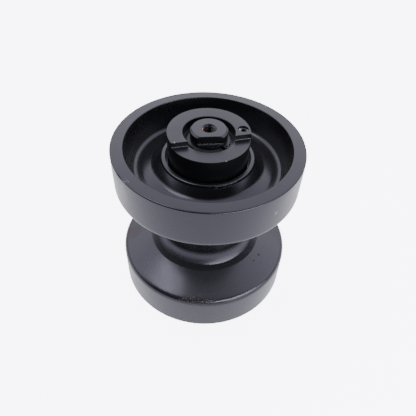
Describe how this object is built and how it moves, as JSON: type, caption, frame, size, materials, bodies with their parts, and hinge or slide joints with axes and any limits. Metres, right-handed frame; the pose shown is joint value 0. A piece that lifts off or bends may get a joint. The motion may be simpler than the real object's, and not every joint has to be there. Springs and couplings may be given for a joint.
{
  "type": "track roller",
  "caption": "Spool-shaped track roller: dished wheels joined by a narrow neck, spinning on a fixed shaft between stepped collars.",
  "frame": {"origin": "on the shaft's axis, midway between the two wheels", "axes": "+Z along the shaft towards the upper end, -Y the side that the shaft's two flats face"},
  "size_m": [0.22, 0.22, 0.248],
  "materials": {
    "shell_paint": "satin black enamel over turned and forged steel",
    "collar_paint": "satin black enamel over cast and turned iron",
    "shaft_paint": "satin black enamel on the ends, ground steel between them, bare rusty thread",
    "plug_paint": "satin black enamel with bare steel in the socket",
    "spring_steel": "dark phosphated spring steel, oversprayed black",
    "bush_bronze": "turned bronze, oiled",
    "seal_iron": "lapped hard iron",
    "toric_rubber": "matt black rubber",
    "o_ring_rubber": "matt black rubber"
  },
  "bodies": {
    "axle": {"shaft": "shaft_paint", "snap_ring_upper": "spring_steel", "snap_ring_lower": "spring_steel"},
    "spool": {"shell_half_upper": "shell_paint", "shell_half_lower": "shell_paint", "shell_weld": "shell_paint", "bush_upper": "bush_bronze", "bush_lower": "bush_bronze", "rotating_seal_ring_upper": "seal_iron", "rotating_seal_ring_lower": "seal_iron", "rotating_toric_upper": "toric_rubber", "rotating_toric_lower": "toric_rubber"},
    "upper_collar": {"collar_upper": "collar_paint", "fill_plug_upper": "plug_paint", "fixed_seal_ring_upper": "seal_iron", "fixed_toric_upper": "toric_rubber", "collar_o_ring_upper": "o_ring_rubber"},
    "lower_collar": {"collar_lower": "collar_paint", "fill_plug_lower": "plug_paint", "fixed_seal_ring_lower": "seal_iron", "fixed_toric_lower": "toric_rubber", "collar_o_ring_lower": "o_ring_rubber"}
  },
  "joints": [
    {"name": "spool_spin", "type": "hinge", "parent": "axle", "child": "spool", "pos_m": [0, 0, 0], "axis": [0, 0, 1], "continuous": true},
    {"name": "upper_collar_turn", "type": "hinge", "parent": "axle", "child": "upper_collar", "pos_m": [0, 0, 0.1], "axis": [0, 0, 1], "continuous": true},
    {"name": "lower_collar_turn", "type": "hinge", "parent": "axle", "child": "lower_collar", "pos_m": [0, 0, -0.1], "axis": [0, 0, 1], "continuous": true}
  ]
}
